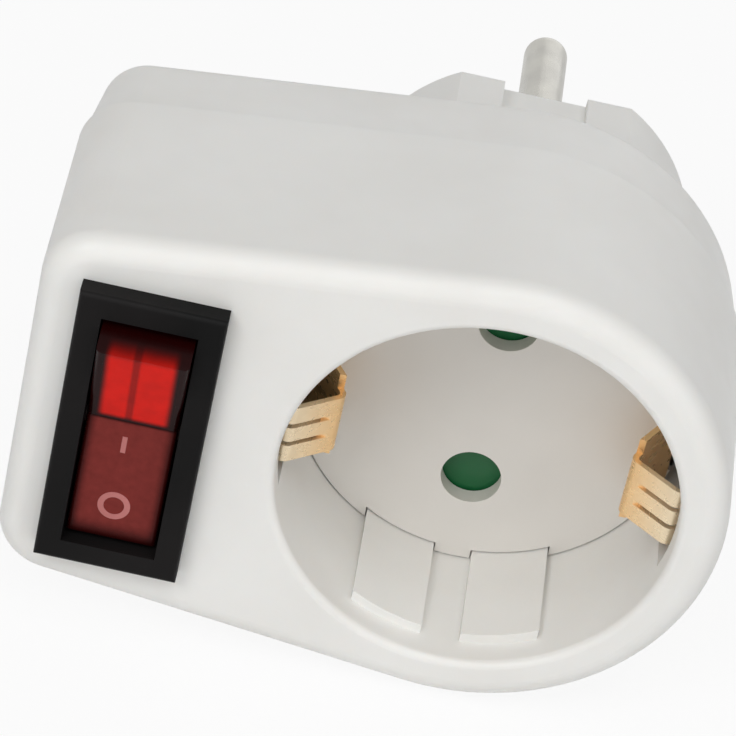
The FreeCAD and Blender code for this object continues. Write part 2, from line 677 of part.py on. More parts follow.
def make_shutter_spring():
    """The wire spring that turns the shutter back over the holes."""
    stop_x, stop_z = post_places()[2]
    leg_length = math.hypot(stop_x, stop_z) - SPRING_COIL_R - STOP_POST_R
    coil = Part.makeTorus(SPRING_COIL_R, SPRING_WIRE_R, V(0, at(SPRING_DEPTH), 0), V(0, 1, 0))
    leg = Part.makeCylinder(SPRING_WIRE_R, leg_length, V(SPRING_COIL_R, 0, 0), V(1, 0, 0))
    legs = []
    for angle in (math.degrees(math.atan2(stop_z, stop_x)), 90.0):
        placed = leg.copy()
        placed.rotate(V(0, 0, 0), V(0, 1, 0), -angle)
        placed.translate(V(0, at(SPRING_DEPTH), 0))
        legs.append(placed)
    return coil.fuse(legs)


def make_shutter_cover():
    """The plate that keeps the shutter against the socket floor."""
    cover = cylinder(COVER_R, COVER_FRONT_DEPTH, COVER_BACK_DEPTH)
    start = COVER_FRONT_DEPTH - OVERCUT
    end = COVER_BACK_DEPTH + OVERCUT
    holes = [cylinder(BOSS_R + COVER_GAP, start, end)]
    for x, z in post_places():
        holes.append(cylinder(PEG_R + COVER_GAP / 2, start, end, x, z))
    for side in (-1, 1):
        holes.append(cylinder(PIN_HOLE_R, start, end, 0, side * PIN_Z))
    return cover.cut(holes)


def make_plug_pin(side):
    """A plug pin with a rounded tip, a seat in the nose's end wall, a collar and a flat tag."""
    z = side * PIN_Z
    tip_depth = NOSE_END_DEPTH + PIN_LENGTH
    collar_depth = PIN_ROOT_DEPTH - PIN_COLLAR_LENGTH
    pin = cylinder(PIN_R, NOSE_END_DEPTH, tip_depth, 0, z)
    pin = rounded(pin, PIN_TIP_R, tip_depth)
    seat = cylinder(PIN_SEAT_R, PIN_ROOT_DEPTH, NOSE_END_DEPTH, 0, z)
    collar = cylinder(PIN_COLLAR_R, collar_depth, PIN_ROOT_DEPTH, 0, z)
    tag = centred_block(
        0, PIN_TAG_THICKNESS / 2, PIN_TAG_DEPTH, collar_depth, z, PIN_TAG_WIDTH / 2
    )
    return pin.fuse([seat, collar, tag])


def make_contact(side):
    """A rolled socket contact that grips a plug's pin, with a collar and a tab for its lead."""
    z = side * PIN_Z
    sleeve = ring(CONTACT_OUTER_R, CONTACT_BORE_R, CONTACT_FRONT_DEPTH, CONTACT_END_DEPTH, 0, z)
    collar_depth = CARRIER_FRONT_DEPTH - CONTACT_COLLAR_LENGTH
    slit = block(
        0,
        CONTACT_OUTER_R + OVERCUT,
        CONTACT_FRONT_DEPTH - OVERCUT,
        collar_depth,
        z - CONTACT_SLIT / 2,
        z + CONTACT_SLIT / 2,
    )
    sleeve = sleeve.cut(slit)
    collar = ring(CONTACT_COLLAR_R, CONTACT_BORE_R, collar_depth, CARRIER_FRONT_DEPTH, 0, z)
    tab = block(
        CONTACT_TAB_END_X,
        -CONTACT_OUTER_R,
        collar_depth,
        CARRIER_FRONT_DEPTH,
        z - CONTACT_TAB_WIDTH / 2,
        z + CONTACT_TAB_WIDTH / 2,
    )
    cap = cylinder(CONTACT_OUTER_R, CONTACT_END_DEPTH, CONTACT_END_DEPTH + CONTACT_WALL, 0, z)
    return sleeve.fuse([collar, tab, cap]).removeSplitter()


def make_clamp_spring(side):
    """The spring ring round the mouth of a socket contact."""
    z = side * PIN_Z
    start = CONTACT_FRONT_DEPTH + CLAMP_SPRING_START
    end = start + CLAMP_SPRING_LENGTH
    inner = CONTACT_OUTER_R + CLAMP_SPRING_GAP
    outer = inner + CLAMP_SPRING_THICKNESS
    clamp = ring(outer, inner, start, end, 0, z)
    slit = block(
        0,
        outer + OVERCUT,
        start - OVERCUT,
        end + OVERCUT,
        z - CLAMP_SPRING_SLIT / 2,
        z + CLAMP_SPRING_SLIT / 2,
    )
    return clamp.cut(slit)


def earth_strip_slots():
    """Slots in the carrier's sides for the legs of the two plug earth strips."""
    half = PLUG_EARTH_WIDTH / 2 + STRIP_SLOT_GAP
    slot = block(
        PLUG_EARTH_LEG_X - PLUG_EARTH_THICKNESS / 2 - STRIP_SLOT_GAP,
        PLUG_EARTH_LEG_X + PLUG_EARTH_THICKNESS / 2 + STRIP_SLOT_GAP,
        CARRIER_FRONT_DEPTH - OVERCUT,
        CARRIER_BACK_DEPTH + OVERCUT,
        -half,
        half,
    )
    return [slot, mirrored_x(slot)]


def make_contact_carrier():
    """The moulded insert in the mouth of the nose that holds the contacts apart."""
    carrier = cylinder(CARRIER_FLANGE_R, CARRIER_FRONT_DEPTH, INNER_BACK_DEPTH)
    neck = nose_hollow(CARRIER_GAP, INNER_BACK_DEPTH, CARRIER_BACK_DEPTH)
    carrier = carrier.fuse(neck).removeSplitter()
    holes = [cylinder(SCREW_CLEARANCE_R, CARRIER_FRONT_DEPTH - OVERCUT, CARRIER_BACK_DEPTH + OVERCUT)]
    for side in (-1, 1):
        seat = CONTACT_OUTER_R + CONTACT_SEAT_GAP
        holes.append(
            cylinder(seat, CARRIER_FRONT_DEPTH - OVERCUT, CARRIER_BACK_DEPTH + OVERCUT, 0, side * PIN_Z)
        )
    holes.append(
        cylinder(
            LEAD_R + LEAD_PASSAGE_GAP,
            CARRIER_FRONT_DEPTH - OVERCUT,
            CARRIER_BACK_DEPTH + OVERCUT,
            LEAD_PASSAGE_X,
            LEAD_PASSAGE_Z,
        )
    )
    return carrier.cut(holes + earth_strip_slots())


def make_earth_clip():
    """The right socket earth clip: slit fingers at the mouth, a wide base and a foot on the bridge."""
    foot_depth = CARRIER_FRONT_DEPTH - BRIDGE_THICKNESS - EARTH_STRIP_THICKNESS / 2
    points = [
        (EARTH_CLIP_TIP_R, EARTH_CLIP_TIP_DEPTH),
        (EARTH_CLIP_TIP_R - EARTH_STRIP_THICKNESS, EARTH_CLIP_MOUTH_DEPTH),
        (EARTH_CLIP_NOSE_R, EARTH_CLIP_NOSE_DEPTH),
        (EARTH_CLIP_LEG_R, EARTH_CLIP_LEG_DEPTH),
        (EARTH_CLIP_LEG_R, foot_depth),
        (EARTH_CLIP_LEG_R - EARTH_FOOT_LENGTH, foot_depth),
    ]
    strip = bent_strip(points, EARTH_CLIP_BEND_R, EARTH_STRIP_THICKNESS, EARTH_BASE_WIDTH / 2)
    inner = EARTH_CLIP_NOSE_R - OVERCUT
    outer = EARTH_CLIP_TIP_R + OVERCUT
    start = EARTH_CLIP_MOUTH_DEPTH - OVERCUT
    half = EARTH_CLIP_WIDTH / 2
    base_half = EARTH_BASE_WIDTH / 2
    narrow = block(inner, outer, start, CARRIER_FRONT_DEPTH, -half, half)
    base_end = WELL_DEPTH - EARTH_BASE_GAP
    base = block(inner, outer, EARTH_BASE_START, base_end, -base_half, base_half)
    clip = strip.common(narrow.fuse(base)).removeSplitter()
    for third in (-1, 1):
        slit = block(
            EARTH_CLIP_NOSE_R - OVERCUT,
            EARTH_CLIP_TIP_R + OVERCUT,
            EARTH_CLIP_MOUTH_DEPTH - OVERCUT,
            EARTH_CLIP_NOSE_DEPTH - EARTH_CLIP_SLIT_STOP,
            third * EARTH_CLIP_WIDTH / 6 - EARTH_CLIP_SLIT / 2,
            third * EARTH_CLIP_WIDTH / 6 + EARTH_CLIP_SLIT / 2,
        )
        clip = clip.cut(slit)
    return clip


def make_earth_bridge():
    """The half ring that joins the earth parts of both sides below the contacts."""
    front = CARRIER_FRONT_DEPTH - BRIDGE_THICKNESS
    bridge = ring(BRIDGE_OUTER_R, BRIDGE_INNER_R, front, CARRIER_FRONT_DEPTH)
    reach = BRIDGE_OUTER_R + OVERCUT
    upper = block(
        -reach,
        reach,
        front - OVERCUT,
        CARRIER_FRONT_DEPTH + OVERCUT,
        EARTH_CLIP_WIDTH / 2,
        reach,
    )
    return bridge.cut(upper)


def make_plug_earth():
    """The right plug earth strip: along the nose's side, in through its wall, to the bridge."""
    outer_x = EARTH_RECESS_X + PLUG_EARTH_THICKNESS / 2
    points = [
        (outer_x, NOSE_END_DEPTH - PLUG_EARTH_END_GAP),
        (outer_x, PLUG_EARTH_TURN_DEPTH),
        (PLUG_EARTH_LEG_X, PLUG_EARTH_TURN_DEPTH),
        (PLUG_EARTH_LEG_X, CARRIER_FRONT_DEPTH),
    ]
    return bent_strip(points, PLUG_EARTH_BEND_R, PLUG_EARTH_THICKNESS, PLUG_EARTH_WIDTH / 2)


def make_neutral_link():
    """The strip that joins the upper pin to the upper contact."""
    return centred_block(
        0,
        NEUTRAL_LINK_WIDTH / 2,
        CONTACT_END_DEPTH + CONTACT_WALL,
        PIN_TAG_DEPTH,
        PIN_Z,
        NEUTRAL_LINK_THICKNESS / 2,
    )


def make_switch_body():
    """The switch's case, with the raised bezel in front of the housing."""
    bezel = centred_block(
        SWITCH_X, BEZEL_WIDTH / 2, -BEZEL_THICKNESS, 0, 0, BEZEL_LENGTH / 2
    )
    bezel = rounded(bezel, BEZEL_EDGE_R, -BEZEL_THICKNESS)
    case = centred_block(
        SWITCH_X, SWITCH_BODY_WIDTH / 2, 0, SWITCH_BODY_DEPTH, 0, SWITCH_BODY_HALF_LENGTH
    )
    body = bezel.fuse(case)
    hollow = centred_block(
        SWITCH_X,
        OPENING_HALF_WIDTH,
        -BEZEL_THICKNESS - OVERCUT,
        SWITCH_BODY_DEPTH - SWITCH_BASE,
        0,
        OPENING_HALF_LENGTH,
    )
    body = body.cut(hollow)
    trunnion_half = ROCKER_WIDTH / 2 + TRUNNION_LENGTH + TRUNNION_GAP
    bearing = Part.makeCylinder(
        TRUNNION_R + TRUNNION_GAP,
        2 * trunnion_half,
        V(SWITCH_X - trunnion_half, at(ROCKER_PIVOT_DEPTH), 0),
        V(1, 0, 0),
    )
    body = body.cut(bearing)
    latch_foot = FRONT_WALL + PANEL_GAP
    for side in (-1, 1):
        wall_x = SWITCH_X + side * SWITCH_BODY_WIDTH / 2
        corners = [
            V(wall_x, at(latch_foot), -LATCH_LENGTH / 2),
            V(wall_x + side * LATCH_HEIGHT, at(latch_foot), -LATCH_LENGTH / 2),
            V(wall_x, at(latch_foot + LATCH_DEPTH), -LATCH_LENGTH / 2),
        ]
        wedge = Part.Face(Part.makePolygon(corners + corners[:1]))
        body = body.fuse(wedge.extrude(V(0, 0, LATCH_LENGTH)))
    for place in (-1, 0, 1):
        slot = centred_block(
            SWITCH_X,
            TERMINAL_WIDTH / 2,
            SWITCH_BODY_DEPTH - SWITCH_BASE - OVERCUT,
            SWITCH_BODY_DEPTH + OVERCUT,
            place * TERMINAL_PITCH,
            TERMINAL_THICKNESS / 2,
        )
        body = body.cut(slot)
    return body


def rocker_profile(grow):
    """The rocker's side view midway in its travel, brought in by a wall, as a face at X = 0."""
    half_fold = math.radians(ROCKER_REST_DEG)
    valley = (ROCKER_PIVOT_DEPTH - ROCKER_FACE_DEPTH) / math.cos(half_fold)
    valley -= abs(ROCKER_VALLEY_SHIFT) * math.tan(half_fold) + grow / math.cos(half_fold)
    radius = ROCKER_R - grow
    skirt = ROCKER_SKIRT

    def face_end(side):
        shift = side * ROCKER_VALLEY_SHIFT
        slope = math.tan(half_fold)
        base = valley - slope * shift
        a = 1 + slope * slope
        b = 2 * slope * base
        c = base * base - radius * radius
        z = (-b + math.sqrt(b * b - 4 * a * c)) / (2 * a)
        return V(0, -(base + slope * z), side * z)

    def skirt_end(side):
        return V(0, skirt, side * math.sqrt(radius * radius - skirt * skirt))

    def end_middle(side):
        middle = (face_end(side) + skirt_end(side)) * 0.5
        return middle.normalize() * radius

    middle = V(0, -valley, ROCKER_VALLEY_SHIFT)
    edges = [
        Part.LineSegment(face_end(-1), middle).toShape(),
        Part.LineSegment(middle, face_end(1)).toShape(),
        Part.Arc(face_end(1), end_middle(1), skirt_end(1)).toShape(),
        Part.LineSegment(skirt_end(1), skirt_end(-1)).toShape(),
        Part.Arc(skirt_end(-1), end_middle(-1), face_end(-1)).toShape(),
    ]
    return Part.Face(Part.Wire(edges))


def set_rocker_at_rest(shape):
    """Moves a shape from the rocker's own mid position to the switched-off position."""
    shape.rotate(V(0, 0, 0), V(1, 0, 0), ROCKER_REST_DEG)
    shape.translate(V(SWITCH_X, at(ROCKER_PIVOT_DEPTH), 0))
    return shape


def make_rocker():
    """The clear red rocker: two sloping faces, a hollow underside, trunnions and plunger tube."""
    half = ROCKER_WIDTH / 2
    outer = rocker_profile(0).extrude(V(ROCKER_WIDTH, 0, 0))
    outer.translate(V(-half, 0, 0))
    long_edges = [e for e in outer.Edges if is_front_side_edge(e, half)]
    outer = outer.makeFillet(ROCKER_EDGE_R, long_edges)
    inner = rocker_profile(ROCKER_WALL).extrude(V(ROCKER_WIDTH - 2 * ROCKER_WALL, 0, 0))
    inner.translate(V(-half + ROCKER_WALL, 0, 0))
    rocker = outer.cut(inner)
    tube_r = PLUNGER_R + PLUNGER_TUBE_WALL
    tube = Part.makeCylinder(tube_r, PLUNGER_TUBE_REACH - TUBE_TOP, V(0, TUBE_TOP, 0), V(0, 1, 0))
    bore_length = PLUNGER_TUBE_REACH - PLUNGER_BORE_TOP + OVERCUT
    bore = Part.makeCylinder(
        PLUNGER_R + PLUNGER_GAP, bore_length, V(0, PLUNGER_BORE_TOP, 0), V(0, 1, 0)
    )
    trunnion_half = half + TRUNNION_LENGTH
    trunnions = Part.makeCylinder(
        TRUNNION_R, 2 * trunnion_half, V(-trunnion_half, 0, 0), V(1, 0, 0)
    )
    between = Part.makeBox(2 * (half - ROCKER_WALL), 2 * ROCKER_R, 2 * ROCKER_R)
    between.translate(V(-half + ROCKER_WALL, -ROCKER_R, -ROCKER_R))
    rocker = rocker.fuse(trunnions.cut(between)).fuse(tube).cut(bore)
    return set_rocker_at_rest(rocker)


def is_front_side_edge(edge, half):
    """Is the edge one of the four long ones where a sloping face meets a side?"""
    box = edge.BoundBox
    at_side = abs(abs(box.XMin) - half) < 1e-4 and box.XLength < 1e-4
    return at_side and isinstance(edge.Curve, Part.Line) and box.YMax < 0


def make_plunger():
    """The sprung plunger in the rocker that drives the rocking contact."""
    back = PLUNGER_REACH - PLUNGER_LENGTH
    stem_length = PLUNGER_LENGTH - PLUNGER_R
    stem = Part.makeCylinder(PLUNGER_R, stem_length, V(0, back, 0), V(0, 1, 0))
    tip = Part.makeSphere(PLUNGER_R, V(0, back + stem_length, 0))
    return set_rocker_at_rest(stem.fuse(tip).removeSplitter())


def make_plunger_spring():
    """The coil spring between the rocker and its plunger."""
    top = PLUNGER_BORE_TOP + PLUNGER_SPRING_WIRE_R
    bottom = PLUNGER_REACH - PLUNGER_LENGTH - PLUNGER_SPRING_WIRE_R
    pitch = (bottom - top) / PLUNGER_SPRING_TURNS
    coil = wire_coil(PLUNGER_SPRING_R, PLUNGER_SPRING_WIRE_R, pitch, PLUNGER_SPRING_TURNS, top)
    return set_rocker_at_rest(coil)


def under_face(side, start_z, radius, length):
    """A round part of this radius that lies along the underside of one half of the rocker."""
    half_fold = math.radians(ROCKER_REST_DEG)
    slope = math.tan(half_fold)
    valley = (ROCKER_PIVOT_DEPTH - ROCKER_FACE_DEPTH) / math.cos(half_fold)
    valley -= abs(ROCKER_VALLEY_SHIFT) * slope
    drop = (ROCKER_WALL + LAMP_CLEARANCE + radius) / math.cos(half_fold)
    y = drop - valley - slope * (start_z - side * ROCKER_VALLEY_SHIFT)
    along = V(0, -math.sin(half_fold), side * math.cos(half_fold))
    return V(0, y, side * start_z), along, radius, length


def make_lamp():
    """The small glow lamp under the rocker's upper half, with a rounded end."""
    base, along, radius, length = under_face(1, LAMP_START_Z, LAMP_R, LAMP_LENGTH)
    bulb = Part.makeCylinder(radius, length - radius, base, along)
    tip = Part.makeSphere(radius, base + along * (length - radius))
    return set_rocker_at_rest(bulb.fuse(tip).removeSplitter())


def make_resistor():
    """The lamp's resistor under the rocker's lower half."""
    base, along, radius, length = under_face(-1, RESISTOR_START_Z, RESISTOR_R, RESISTOR_LENGTH)
    return set_rocker_at_rest(Part.makeCylinder(radius, length, base, along))


def make_contact_arm():
    """The rocking contact, which tips about the middle terminal, with its contact button."""
    half = ARM_HALF_LENGTH
    corner = V(-ARM_WIDTH / 2, -ARM_THICKNESS / 2, -half)
    arm = Part.makeBox(ARM_WIDTH, ARM_THICKNESS, 2 * half, corner)
    button_z = -TERMINAL_PITCH
    button = Part.makeCylinder(
        BUTTON_R, BUTTON_HEIGHT, V(0, ARM_THICKNESS / 2, button_z), V(0, 1, 0)
    )
    arm = arm.fuse(button)
    arm.rotate(V(0, 0, 0), V(1, 0, 0), -ARM_REST_DEG)
    arm.translate(V(SWITCH_X, at(ARM_PIVOT_DEPTH), 0))
    return arm


def terminal_blade(z, depth):
    """The flat blade of a switch terminal, from a depth inside the case to its outer end."""
    return centred_block(
        SWITCH_X, TERMINAL_WIDTH / 2, depth, TERMINAL_END_DEPTH, z, TERMINAL_THICKNESS / 2
    )


def make_line_terminal():
    """The middle terminal, whose top edge carries the rocking contact."""
    top = ARM_FRONT_DEPTH + ARM_THICKNESS + FULCRUM_GAP
    return terminal_blade(0, top)


def make_load_terminal():
    """The terminal with the fixed contact button that the rocking contact closes on."""
    swing = TERMINAL_PITCH * math.sin(math.radians(ARM_REST_DEG))
    button_top = ARM_PIVOT_DEPTH + ARM_THICKNESS / 2 + BUTTON_HEIGHT + swing + BUTTON_GAP
    button_top += BUTTON_R * math.sin(math.radians(ARM_REST_DEG))
    z = -TERMINAL_PITCH
    button = cylinder(BUTTON_R, button_top, button_top + BUTTON_HEIGHT, SWITCH_X, z)
    return terminal_blade(z, button_top + BUTTON_HEIGHT).fuse(button)


def make_neutral_terminal():
    """The terminal that feeds only the lamp."""
    return terminal_blade(TERMINAL_PITCH, NEUTRAL_TERMINAL_DEPTH)


def make_receptacle(z):
    """A push-on receptacle on a switch terminal, with its crimp pointing at the socket."""
    end = RECEPTACLE_START_DEPTH + RECEPTACLE_LENGTH
    sleeve = centred_block(
        SWITCH_X, RECEPTACLE_WIDTH / 2, RECEPTACLE_START_DEPTH, end, z, RECEPTACLE_HEIGHT / 2
    )
    blade_room = centred_block(
        SWITCH_X,
        TERMINAL_WIDTH / 2 + RECEPTACLE_GAP,
        RECEPTACLE_START_DEPTH - OVERCUT,
        TERMINAL_END_DEPTH,
        z,
        TERMINAL_THICKNESS / 2 + RECEPTACLE_GAP,
    )
    sleeve = sleeve.cut(blade_room)
    crimp = Part.makeCylinder(
        CRIMP_R, CRIMP_LENGTH, V(SWITCH_X + RECEPTACLE_WIDTH / 2, at(CRIMP_DEPTH), z), V(1, 0, 0)
    )
    return sleeve.fuse(crimp)


def crimp_end_x():
    """The X at which a lead enters its crimp."""
    return SWITCH_X + RECEPTACLE_WIDTH / 2 + CRIMP_LENGTH


def make_live_lead():
    """The lead from the lower pin's tag, through the carrier, to the middle terminal."""
    tag_depth = PIN_TAG_DEPTH + PIN_TAG_LENGTH / 2
    points = [
        (-PIN_TAG_THICKNESS / 2, tag_depth, -PIN_Z),
        (-LEAD_STRAIGHT, tag_depth, -PIN_Z),
        (LEAD_PASSAGE_X, tag_depth, LEAD_PASSAGE_Z),
        (LEAD_PASSAGE_X, LEAD_RUN_DEPTH, LEAD_PASSAGE_Z),
        (LEAD_FAN_X, LEAD_RUN_DEPTH, LEAD_PASSAGE_Z),
        (crimp_end_x() + LEAD_STRAIGHT, CRIMP_DEPTH, 0),
        (crimp_end_x(), CRIMP_DEPTH, 0),
    ]
    return round_lead(points, LEAD_BEND_R, LEAD_R)


def make_contact_lead(side):
    """The lead from a contact's tab to the switch terminal on the same side."""
    start_depth = CARRIER_FRONT_DEPTH - CONTACT_COLLAR_LENGTH - LEAD_R
    z = side * TERMINAL_PITCH
    points = [
        (CONTACT_TAB_END_X + CONTACT_TAB_WIDTH / 2, start_depth, side * PIN_Z),
        (LEAD_FAN_X, start_depth, side * PIN_Z),
        (crimp_end_x() + LEAD_STRAIGHT, CRIMP_DEPTH, z),
        (crimp_end_x(), CRIMP_DEPTH, z),
    ]
    return round_lead(points, LEAD_BEND_R, LEAD_R)


def slotted_screw(head_depth, tip_depth, x, z):
    """A self-tapping screw along Y whose slotted head looks along +Y."""
    head = cylinder(SCREW_HEAD_R, head_depth, head_depth + SCREW_HEAD_HEIGHT, x, z)
    head = rounded(head, SCREW_HEAD_EDGE_R, head_depth + SCREW_HEAD_HEIGHT)
    slot = centred_block(
        x,
        SCREW_HEAD_R + OVERCUT,
        head_depth + SCREW_HEAD_HEIGHT - SCREW_SLOT_DEPTH,
        head_depth + SCREW_HEAD_HEIGHT + OVERCUT,
        z,
        SCREW_SLOT_HALF,
    )
    return head.cut(slot).fuse(cylinder(SCREW_R, tip_depth, head_depth, x, z))


def make_housing_screws():
    """The two short screws at the switch end."""
    head_depth = BODY_DEPTH - SCREW_HEAD_SINK - SCREW_HEAD_HEIGHT
    tip_depth = PARTING_DEPTH - SCREW_THREAD_LENGTH + SCREW_TIP_GAP
    return Part.Compound([slotted_screw(head_depth, tip_depth, x, z) for x, z in boss_places()])


def make_centre_screw():
    """The long screw from the nose's end face into the socket floor's boss."""
    tip_depth = CARRIER_FRONT_DEPTH - SCREW_THREAD_LENGTH + SCREW_TIP_GAP
    return slotted_screw(CENTRE_SCREW_HEAD_DEPTH, tip_depth, 0, 0)


def all_parts():
    """Every piece of the adapter, by its node name."""
    earth_clip = make_earth_clip()
    plug_earth = make_plug_earth()
    return {
        "front_housing": make_front_housing(),
        "rear_housing": make_rear_housing(),
        "socket_floor": make_socket_floor(),
        "shutter": make_shutter(),
        "shutter_spring": make_shutter_spring(),
        "shutter_cover": make_shutter_cover(),
        "contact_carrier": make_contact_carrier(),
        "plug_pin_upper": make_plug_pin(1),
        "plug_pin_lower": make_plug_pin(-1),
        "contact_upper": make_contact(1),
        "contact_lower": make_contact(-1),
        "clamp_spring_upper": make_clamp_spring(1),
        "clamp_spring_lower": make_clamp_spring(-1),
        "earth_clip_right": earth_clip,
        "earth_clip_left": mirrored_x(earth_clip),
        "earth_bridge": make_earth_bridge(),
        "plug_earth_right": plug_earth,
        "plug_earth_left": mirrored_x(plug_earth),
        "neutral_link": make_neutral_link(),
        "switch_body": make_switch_body(),
        "rocker": make_rocker(),
        "plunger": make_plunger(),
        "plunger_spring": make_plunger_spring(),
        "glow_lamp": make_lamp(),
        "lamp_resistor": make_resistor(),
        "contact_arm": make_contact_arm(),
        "line_terminal": make_line_terminal(),
        "load_terminal": make_load_terminal(),
        "neutral_terminal": make_neutral_terminal(),
        "receptacle_line": make_receptacle(0),
        "receptacle_load": make_receptacle(-TERMINAL_PITCH),
        "receptacle_neutral": make_receptacle(TERMINAL_PITCH),
        "live_lead": make_live_lead(),
        "load_lead": make_contact_lead(-1),
        "neutral_lead": make_contact_lead(1),
        "housing_screws": make_housing_screws(),
        "centre_screw": make_centre_screw(),
    }


os.makedirs("parts", exist_ok=True)
for name, shape in all_parts().items():
    print(name, "solids", len(shape.Solids), "volume", round(shape.Volume, 2), "valid", shape.isValid())
    shape.exportStep("parts/" + name + ".step")
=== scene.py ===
import json
import math

import bpy
from mathutils import Matrix, Vector


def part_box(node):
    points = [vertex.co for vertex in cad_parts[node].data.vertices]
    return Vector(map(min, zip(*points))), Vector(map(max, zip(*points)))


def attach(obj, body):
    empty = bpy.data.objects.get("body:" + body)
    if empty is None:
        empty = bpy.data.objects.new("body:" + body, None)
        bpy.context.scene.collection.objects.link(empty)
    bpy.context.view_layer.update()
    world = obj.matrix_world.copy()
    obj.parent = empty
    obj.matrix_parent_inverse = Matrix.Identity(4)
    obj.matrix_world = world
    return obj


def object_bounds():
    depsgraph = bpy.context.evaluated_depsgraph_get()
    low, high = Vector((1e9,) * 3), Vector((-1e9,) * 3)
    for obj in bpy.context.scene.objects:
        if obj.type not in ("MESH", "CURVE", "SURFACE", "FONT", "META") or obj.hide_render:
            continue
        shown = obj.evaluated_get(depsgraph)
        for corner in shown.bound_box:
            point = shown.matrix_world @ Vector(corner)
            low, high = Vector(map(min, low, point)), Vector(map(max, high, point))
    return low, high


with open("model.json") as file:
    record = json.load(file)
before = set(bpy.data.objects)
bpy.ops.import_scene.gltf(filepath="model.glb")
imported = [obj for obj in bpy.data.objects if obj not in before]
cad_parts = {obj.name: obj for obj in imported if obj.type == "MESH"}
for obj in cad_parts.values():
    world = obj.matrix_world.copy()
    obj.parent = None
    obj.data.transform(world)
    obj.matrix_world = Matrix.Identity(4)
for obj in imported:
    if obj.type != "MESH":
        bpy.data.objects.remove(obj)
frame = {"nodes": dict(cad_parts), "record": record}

CAD_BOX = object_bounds()
MM = 0.001

# Camera
CAMERA_PLACE = Vector((-0.02086, -0.37053, 0.22476))
CAMERA_RIGHT = Vector((0.97696, 0.10210, 0.18742))
CAMERA_UP = Vector((-0.21246, 0.54870, 0.80858))
CAMERA_BACK = Vector((-0.02028, -0.82976, 0.55775))
CAMERA_LENS = 195.65
SENSOR = 36.0

# Marks on the rocker
MARK_THICKNESS = 0.04 * MM
RING_SHIFT = -0.25 * MM
RING_R = 1.62 * MM
RING_LINE = 0.6 * MM
RING_Z = -8.85 * MM
BAR_SHIFT = -0.40 * MM
BAR_WIDTH = 0.5 * MM
BAR_Z = (-2.4 * MM, -0.5 * MM)

# Painted glow of the rocker's upper half: emission and a brighter red that stand in for light gathered in
# its hollow
GLOW_HALF_WIDTH = 3.7 * MM
GLOW_EDGE = 0.9 * MM
GLOW_FADE = 1.6 * MM
GLOW_RISE = 0.9 * MM
GLOW_TOP = 12.2 * MM
GLOW_STRENGTH = 0.28
# The painted shade of an inner rib, a darker line down the middle of the painted glow
RIB_SHIFT = -0.45 * MM
RIB_HALF_WIDTH = 0.55 * MM
RIB_PAINTED_SHADE = 0.5
# The painted light on the lower half, fading into painted shade, near black, towards its sides and lower
# end
DULL_HALF_WIDTH = 4.5 * MM
DULL_EDGE = 1.3 * MM
DULL_RISE = 0.4 * MM
DULL_Z = (-12.9 * MM, -10.6 * MM)

# Where the earth clips' painted reflection, pale near the mouth, gives way to their warmer gold, as
# depths behind the rocker's tip
PALE_SHEEN_START = 8.0 * MM
PALE_SHEEN_END = 14.5 * MM

# Optics of the plastics, and how often the finishes' noises repeat, per metre
PLASTIC_IOR = 1.49
CLOUD_SCALE = 55.0
SATIN_SCALE = 420.0
GRAIN_SCALE = 2600.0

# Studio: the floor's paper, how much of it the camera sees as pure white, and the ambient light
FLOOR_SIZE = 6.0
PAPER_TONE = 0.86
FLOOR_WHITE = 0.9
AMBIENT = 0.25
BACKDROP_WHITE = 1.0

# Lamps: name, place, size and power
LAMP_AIM = Vector((-0.01, -0.04, 0.0))
LAMPS = (
    ("key_light", (0.10, -0.55, 1.10), 0.7, 4.5),
    ("left_light", (-0.50, -0.85, 0.75), 0.5, 4.3),
    ("right_light", (0.85, -0.60, 0.30), 0.7, 1.4),
    ("front_light", (0.00, -1.10, 0.15), 0.7, 1.8),
    ("back_light", (0.30, 1.10, 0.30), 0.9, 1.0),
)


def deselect_all():
    """Leaves nothing selected, so that the next operator acts on the new piece alone."""
    bpy.ops.object.select_all(action="DESELECT")


def settle(piece, name, body):
    """Puts the piece's place into its mesh, names it and hangs it on its body."""
    deselect_all()
    piece.select_set(True)
    bpy.context.view_layer.objects.active = piece
    bpy.ops.object.transform_apply(location=True, rotation=True, scale=True)
    piece.name = name
    piece.data.name = name
    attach(piece, body)
    deselect_all()
    return piece


def finish_with(piece, material):
    """Gives the piece one material."""
    piece.data.materials.clear()
    piece.data.materials.append(material)


